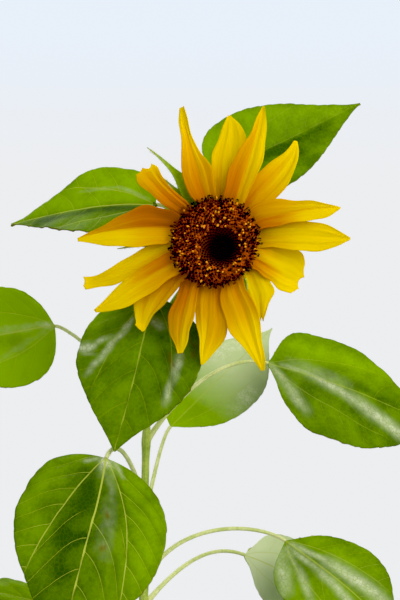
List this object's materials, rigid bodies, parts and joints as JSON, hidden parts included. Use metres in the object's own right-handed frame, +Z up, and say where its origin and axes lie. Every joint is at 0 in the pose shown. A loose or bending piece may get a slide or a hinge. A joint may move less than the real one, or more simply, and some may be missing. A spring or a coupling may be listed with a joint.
{
  "type": "sunflower plant",
  "caption": "Rooted sunflower plant in flower: an upright stem with long-stalked heart-shaped leaves and a yellow-rayed head with a dark disc, looking forward and slightly up.",
  "frame": {"origin": "middle of the flat cut under the main stem, at ground level", "axes": "+Z up along the stem; the flower looks along -Y, a little to -X and upward; +X is the viewer's right"},
  "size_m": [0.3507, 0.3027, 0.5454],
  "materials": {
    "stem": "olive-green ribbed stem skin with short bristly hairs, matt",
    "leaf_stalk": "pale yellow-green grooved leaf stalk with fine hairs, matt",
    "leaf": "bright green leaf, softly glossy above with pale yellow veins, paler below",
    "cup": "green flower cup clad in hairy pointed bracts",
    "petal": "golden yellow ray petal, orange toward the disc, lengthwise pleats, satin",
    "disc": "red-brown to black disc of packed florets dotted with orange pollen, rough"
  },
  "bodies": {
    "root": {"main_stem": "stem", "neck": "stem", "receptacle": "cup", "head_disc": "disc", "ray_petal_1": "petal", "ray_petal_2": "petal", "ray_petal_3": "petal", "ray_petal_4": "petal", "ray_petal_5": "petal", "ray_petal_6": "petal", "ray_petal_7": "petal", "ray_petal_8": "petal", "ray_petal_9": "petal", "ray_petal_10": "petal", "ray_petal_11": "petal", "ray_petal_12": "petal", "ray_petal_13": "petal", "ray_petal_14": "petal", "ray_petal_15": "petal", "ray_petal_16": "petal", "petiole_upper_left": "leaf_stalk", "leaf_upper_left": "leaf", "petiole_upper_right": "leaf_stalk", "leaf_upper_right": "leaf", "petiole_mid_left": "leaf_stalk", "leaf_mid_left": "leaf", "petiole_under_flower": "leaf_stalk", "leaf_under_flower": "leaf", "petiole_front_low": "leaf_stalk", "leaf_front_low": "leaf", "petiole_right_high": "leaf_stalk", "leaf_right_high": "leaf", "petiole_back_pale": "leaf_stalk", "leaf_back_pale": "leaf", "petiole_right_low": "leaf_stalk", "leaf_right_low": "leaf", "petiole_back_right": "leaf_stalk", "leaf_back_right": "leaf", "petiole_left_low": "leaf_stalk", "leaf_left_low": "leaf", "petiole_lower_back": "leaf_stalk", "leaf_lower_back": "leaf", "petiole_lower_right": "leaf_stalk", "leaf_lower_right": "leaf", "petiole_lower_left": "leaf_stalk", "leaf_lower_left": "leaf", "petiole_foot_front": "leaf_stalk", "leaf_foot_front": "leaf", "petiole_foot_right": "leaf_stalk", "leaf_foot_right": "leaf", "petiole_foot_left": "leaf_stalk", "leaf_foot_left": "leaf"}
  },
  "joints": []
}
